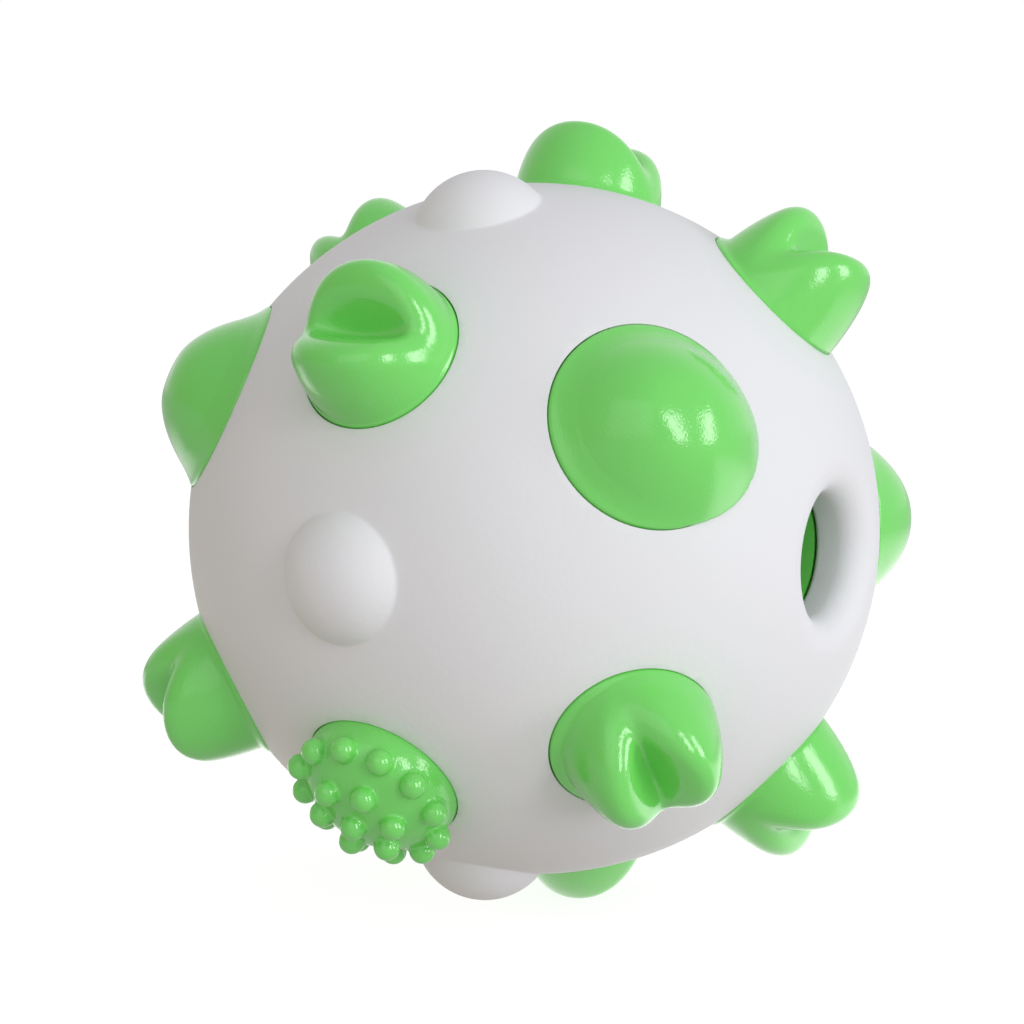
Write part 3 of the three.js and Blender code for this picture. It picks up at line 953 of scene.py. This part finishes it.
class SetStudio(bpy.types.Operator):
    """Sets the floor, the lights and the camera"""

    bl_idname = "chew_ball.set_studio"
    bl_label = "Studio"

    # Azimuth, elevation, width and height, all in degrees as seen from the ball
    softboxes = ((63, 17, 13, 34), (98, 12, 17, 36))
    fill_place = (10, 25, 45, 45)
    light_distance = 0.8
    bright_side = (95, 35)  # azimuth and elevation in degrees of the room's cool, bright side

    # The floor: far wider than the view, just under the lowest stud, and lit by itself
    floor_radius = 6
    floor_corners = 128
    floor_drop = 0.2 * MM
    floor_grey = 0.3
    floor_glow = 0.86

    # The floor as gloss reflects it: lit on one side, and more so near the ball
    lit_side = 190  # azimuth in degrees
    lit_edge = BALL_RADIUS / 3
    near_end = 2 * BALL_RADIUS
    far_start = 8 * BALL_RADIUS
    near_glow = 1.4
    least_glow = 0.5

    sensor_width = 36
    nearest_seen = 0.01

    def execute(self, context):
        self.floor(context)
        self.sky(context)
        settings = context.scene.chew_ball_studio
        for number, place in enumerate(self.softboxes, 1):
            self.lamp(context, f"softbox_{number}", settings.softbox, *place)
        self.lamp(context, "fill", settings.fill, *self.fill_place)
        self.camera(context)
        context.scene.view_settings.view_transform = "Standard"
        context.scene.view_settings.look = "None"
        return {"FINISHED"}

    def direction(self, azimuth, elevation):
        """From the ball towards a place on the sky, counted as the camera's angles are."""
        flat = math.cos(elevation)
        return Vector((math.sin(azimuth) * flat, -math.cos(azimuth) * flat, math.sin(elevation)))

    def floor(self, context):
        """A pale floor under the ball that gives off its own light."""
        bpy.ops.object.select_all(action="DESELECT")
        bpy.ops.mesh.primitive_circle_add(
            vertices=self.floor_corners, radius=self.floor_radius, fill_type="NGON"
        )
        floor = context.active_object
        floor.name = "floor"
        floor.location.z = CAD_BOX[0].z - self.floor_drop
        bpy.ops.object.transform_apply(location=True, rotation=True, scale=True)
        material = bpy.data.materials.new("pale_floor")
        material.use_nodes = True
        shader = material.node_tree.nodes["Principled BSDF"]
        shader.inputs["Base Color"].default_value = (self.floor_grey, self.floor_grey, self.floor_grey, 1)
        shader.inputs["Roughness"].default_value = 1
        shader.inputs["Specular IOR Level"].default_value = 0
        shader.inputs["Emission Strength"].default_value = self.floor_glow
        self.floor_light(material.node_tree, shader)
        floor.data.materials.append(material)
        floor.visible_diffuse = False

    def floor_light(self, tree, shader):
        """White where the camera sees the floor; where gloss reflects it, lit only behind the ball."""
        place = tree.nodes.new("ShaderNodeTexCoord")
        distance = tree.nodes.new("ShaderNodeVectorMath")
        distance.operation = "LENGTH"
        behind = tree.nodes.new("ShaderNodeVectorMath")
        behind.operation = "DOT_PRODUCT"
        behind.inputs[1].default_value = self.direction(math.radians(self.lit_side), 0)
        lit = tree.nodes.new("ShaderNodeMapRange")
        lit.interpolation_type = "SMOOTHSTEP"
        lit.inputs["From Min"].default_value = -self.lit_edge
        lit.inputs["From Max"].default_value = self.lit_edge
        near = tree.nodes.new("ShaderNodeMapRange")
        near.interpolation_type = "SMOOTHSTEP"
        near.inputs["From Min"].default_value = self.near_end
        near.inputs["From Max"].default_value = self.far_start
        near.inputs["To Min"].default_value = self.near_glow
        near.inputs["To Max"].default_value = 0
        both = tree.nodes.new("ShaderNodeMath")
        both.operation = "MULTIPLY_ADD"
        both.inputs[2].default_value = self.least_glow
        path = tree.nodes.new("ShaderNodeLightPath")
        seen = tree.nodes.new("ShaderNodeMix")
        seen.data_type = "RGBA"
        seen.inputs["B"].default_value = (1, 1, 1, 1)
        link(tree, place.outputs["Object"], distance.inputs[0])
        link(tree, path.outputs["Is Camera Ray"], seen.inputs["Factor"])
        link(tree, place.outputs["Object"], behind.inputs[0])
        link(tree, behind.outputs["Value"], lit.inputs["Value"])
        link(tree, distance.outputs["Value"], near.inputs["Value"])
        link(tree, lit.outputs["Result"], both.inputs[0])
        link(tree, near.outputs["Result"], both.inputs[1])
        link(tree, both.outputs["Value"], seen.inputs["A"])
        link(tree, seen.outputs["Result"], shader.inputs["Emission Color"])

    def sky(self, context):
        """A soft room that is brighter on one side, with a white backdrop for the camera and the gloss."""
        settings = context.scene.chew_ball_studio
        world = bpy.data.worlds.new("soft_room")
        context.scene.world = world
        world.use_nodes = True
        tree = world.node_tree
        tree.nodes.clear()
        place = tree.nodes.new("ShaderNodeTexCoord")
        side = tree.nodes.new("ShaderNodeVectorMath")
        side.operation = "DOT_PRODUCT"
        azimuth, elevation = self.bright_side
        side.inputs[1].default_value = self.direction(math.radians(azimuth), math.radians(elevation))
        blend = tree.nodes.new("ShaderNodeMapRange")
        blend.interpolation_type = "SMOOTHSTEP"
        blend.inputs["From Min"].default_value = -1
        blend.inputs["From Max"].default_value = 1
        room = tree.nodes.new("ShaderNodeMix")
        room.data_type = "RGBA"
        room.inputs["A"].default_value = (*settings.sky_warm, 1)
        room.inputs["B"].default_value = (*settings.sky_cool, 1)
        light = tree.nodes.new("ShaderNodeBackground")
        backdrop = tree.nodes.new("ShaderNodeBackground")
        backdrop.inputs["Color"].default_value = (1, 1, 1, 1)
        path = tree.nodes.new("ShaderNodeLightPath")
        behind = tree.nodes.new("ShaderNodeVectorMath")
        behind.operation = "DOT_PRODUCT"
        behind.inputs[1].default_value = -self.direction(settings.camera_azimuth, settings.camera_elevation)
        gleam = tree.nodes.new("ShaderNodeMapRange")
        gleam.interpolation_type = "SMOOTHSTEP"
        mirrored = tree.nodes.new("ShaderNodeMath")
        mirrored.operation = "MULTIPLY_ADD"
        choice = tree.nodes.new("ShaderNodeMixShader")
        out = tree.nodes.new("ShaderNodeOutputWorld")
        link(tree, place.outputs["Generated"], side.inputs[0])
        link(tree, side.outputs["Value"], blend.inputs["Value"])
        link(tree, blend.outputs["Result"], room.inputs["Factor"])
        link(tree, room.outputs["Result"], light.inputs["Color"])
        link(tree, place.outputs["Generated"], behind.inputs[0])
        link(tree, behind.outputs["Value"], gleam.inputs["Value"])
        link(tree, gleam.outputs["Result"], mirrored.inputs[0])
        link(tree, path.outputs["Is Glossy Ray"], mirrored.inputs[1])
        link(tree, path.outputs["Is Camera Ray"], mirrored.inputs[2])
        link(tree, mirrored.outputs["Value"], choice.inputs["Fac"])
        link(tree, light.outputs["Background"], choice.inputs[1])
        link(tree, backdrop.outputs["Background"], choice.inputs[2])
        link(tree, choice.outputs["Shader"], out.inputs["Surface"])

    def lamp(self, context, name, brightness, azimuth, elevation, width, height):
        """A flat light of an even brightness that faces the ball."""
        bpy.ops.object.light_add(type="AREA")
        lamp = context.active_object
        lamp.name = name
        lamp.data.shape = "RECTANGLE"
        lamp.data.size = 2 * self.light_distance * math.tan(math.radians(width) / 2)
        lamp.data.size_y = 2 * self.light_distance * math.tan(math.radians(height) / 2)
        lamp.data.energy = brightness * math.pi * lamp.data.size * lamp.data.size_y
        towards = self.direction(math.radians(azimuth), math.radians(elevation))
        lamp.location = towards * self.light_distance
        lamp.rotation_mode = "QUATERNION"
        lamp.rotation_quaternion = towards.to_track_quat("Z", "Y")

    def camera(self, context):
        """The camera, at the place and the angles of the photograph's."""
        settings = context.scene.chew_ball_studio
        bpy.ops.object.camera_add(location=settings.camera_place)
        camera = context.active_object
        camera.name = "camera"
        camera.data.lens = settings.lens
        camera.data.sensor_width = self.sensor_width
        camera.data.clip_start = self.nearest_seen
        camera.rotation_mode = "QUATERNION"
        back = self.direction(settings.camera_azimuth, settings.camera_elevation)
        camera.rotation_quaternion = back.to_track_quat("Z", "Y")
        context.scene.camera = camera


class ChewBallPanel(bpy.types.Panel):
    """Lists the steps that build the ball"""

    bl_idname = "VIEW3D_PT_chew_ball"
    bl_label = "Chew Ball"
    bl_space_type = "VIEW_3D"
    bl_region_type = "UI"
    bl_category = "Chew Ball"

    def draw(self, context):
        for operator in OPERATORS:
            self.layout.operator(operator.bl_idname)


SETTINGS = {
    "chew_ball_shell": ShellSizes,
    "chew_ball_studs": StudSizes,
    "chew_ball_domes": DomeSizes,
    "chew_ball_wide_dome": WideDomeSizes,
    "chew_ball_nubbed": NubbedSizes,
    "chew_ball_end_knobs": EndKnobSizes,
    "chew_ball_middle_knobs": MiddleKnobSizes,
    "chew_ball_finishes": Finishes,
    "chew_ball_studio": StudioSettings,
}
OPERATORS = (MakeShell, MakeCore, MakeDomes, MakeNubbedDomes, MakeKnobs, SetStudio)


def register():
    for cls in (*SETTINGS.values(), *OPERATORS, ChewBallPanel):
        bpy.utils.register_class(cls)
    for name, group in SETTINGS.items():
        setattr(bpy.types.Scene, name, PointerProperty(type=group))


def unregister():
    for name in SETTINGS:
        delattr(bpy.types.Scene, name)
    for cls in (ChewBallPanel, *reversed(OPERATORS), *reversed(SETTINGS.values())):
        bpy.utils.unregister_class(cls)


def main():
    register()
    bpy.ops.chew_ball.make_shell()
    bpy.ops.chew_ball.make_core()
    bpy.ops.chew_ball.make_domes()
    bpy.ops.chew_ball.make_nubbed_domes()
    bpy.ops.chew_ball.make_knobs()
    bpy.ops.chew_ball.set_studio()


if __name__ == "__main__":
    main()
